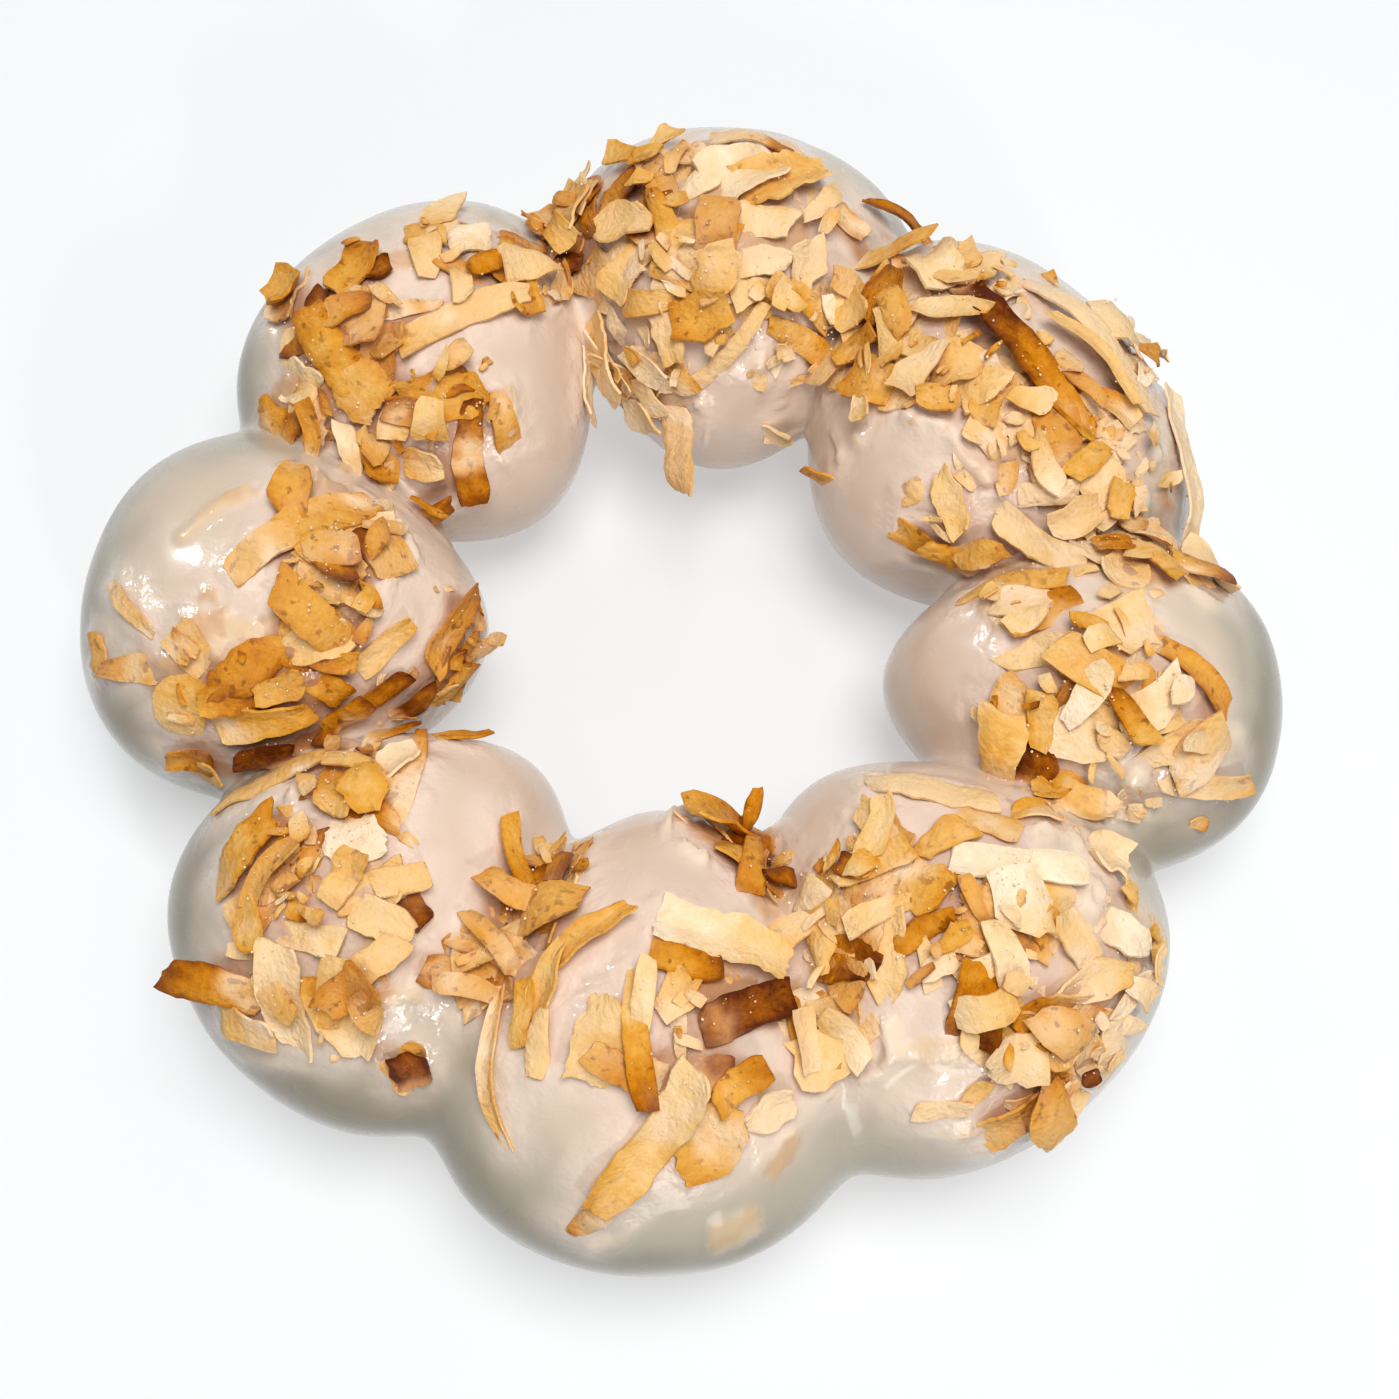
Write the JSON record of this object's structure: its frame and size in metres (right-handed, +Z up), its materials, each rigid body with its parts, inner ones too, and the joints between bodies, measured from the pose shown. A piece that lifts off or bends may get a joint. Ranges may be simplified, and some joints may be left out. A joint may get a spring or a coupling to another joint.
{
  "type": "mochi doughnut",
  "caption": "Ring doughnut of joined dough balls in a pale milk glaze, strewn with toasted coconut flakes; rests flat on the undersides of its balls.",
  "frame": {"origin": "on the surface that the doughnut rests on, under the middle of the ring", "axes": "+Z up along the ring's axis; +X to the right and -Y towards the viewer in the pictured view"},
  "size_m": [0.1, 0.1005, 0.0295],
  "materials": {
    "glaze": "gloss",
    "toasted_coconut": "satin"
  },
  "bodies": {
    "root": {"doughnut": "glaze"}
  },
  "joints": []
}
